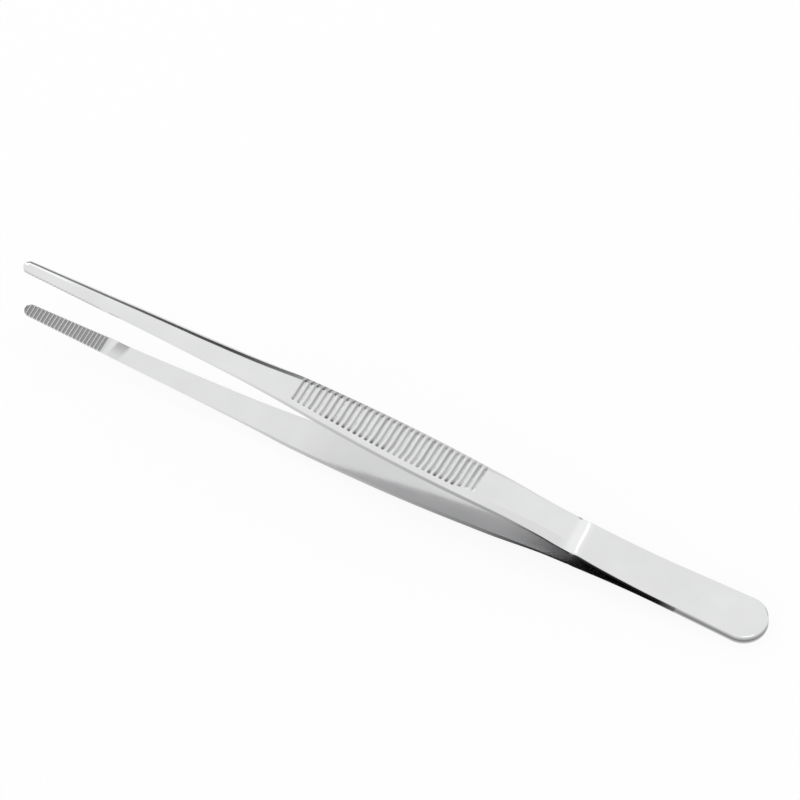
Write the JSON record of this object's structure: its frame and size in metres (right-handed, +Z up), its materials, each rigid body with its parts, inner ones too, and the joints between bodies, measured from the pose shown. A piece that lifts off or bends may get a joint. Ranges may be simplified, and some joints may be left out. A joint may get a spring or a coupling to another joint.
{
  "type": "thumb forceps",
  "caption": "Steel tissue and dressing forceps: sprung arms joined at a rounded tail, cross-grooved grips and slim serrated jaws held open.",
  "frame": {"origin": "on the table below the middle of the forceps as it lies at rest on the heel of its tail and the belly of its lower arm", "axes": "X along the forceps from the jaws at -X to the tail at +X, Y across the arms, Z up, with the arms opening along Z"},
  "size_m": [0.1602, 0.0094, 0.0213],
  "materials": {
    "steel": "polished stainless steel"
  },
  "bodies": {
    "root": {"upper_arm": "steel", "lower_arm": "steel"}
  },
  "joints": []
}
